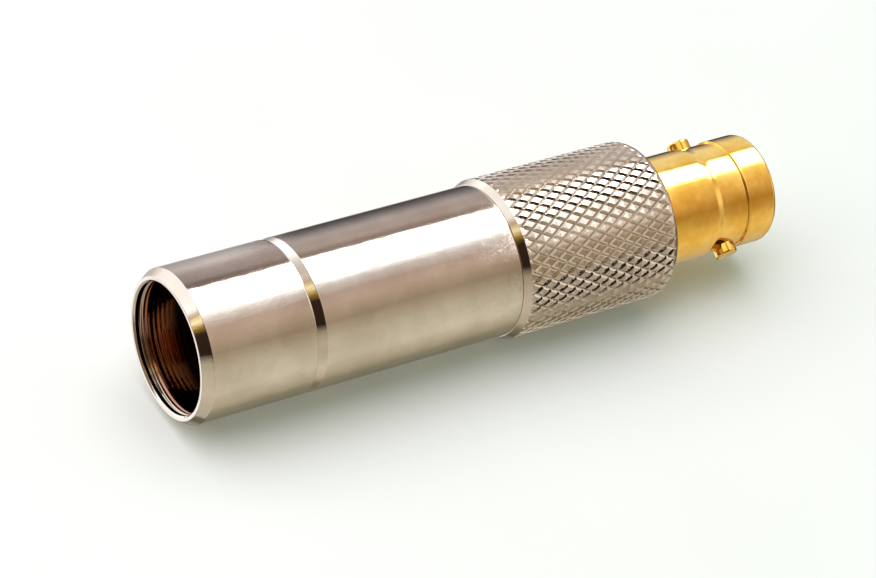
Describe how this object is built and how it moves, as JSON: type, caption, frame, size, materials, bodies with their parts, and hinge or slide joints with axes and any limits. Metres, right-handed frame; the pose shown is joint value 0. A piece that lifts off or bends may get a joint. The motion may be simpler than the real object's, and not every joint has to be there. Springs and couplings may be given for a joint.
{
  "type": "bnc adapter",
  "caption": "Slim turned adapter with a finely threaded open mouth, a plain barrel, a diamond-knurled collar and a gold-plated coaxial jack with bayonet lugs.",
  "frame": {"origin": "centre of the jack's front face, on the axis", "axes": "+Z along the axis from the jack to the mouth, +X and -X through the bayonet lugs"},
  "size_m": [0.014, 0.014, 0.058],
  "materials": {
    "nickel": "bright nickel plate on turned brass",
    "gold": "gold plate on turned brass",
    "insulator": "white fluoropolymer, machined",
    "spring_steel": "zinc-plated spring steel",
    "bare_brass": "bare turned brass",
    "capacitor_coat": "dipped lacquer",
    "tinned_wire": "tinned wire and solder"
  },
  "bodies": {
    "root": {"mouth_ring": "nickel", "barrel": "nickel", "knurled_collar": "nickel", "jack_shell": "gold", "jack_flange": "gold", "jack_insulator": "insulator", "jack_contact": "gold", "jack_rear_bush": "insulator", "lock_washer": "spring_steel", "jack_nut": "bare_brass", "insulating_sleeve": "insulator", "capacitor_body": "capacitor_coat", "capacitor_leads": "tinned_wire", "solder_joints": "tinned_wire", "terminal_contact": "gold", "terminal_insulator": "insulator", "terminal_ring": "nickel"}
  },
  "joints": []
}
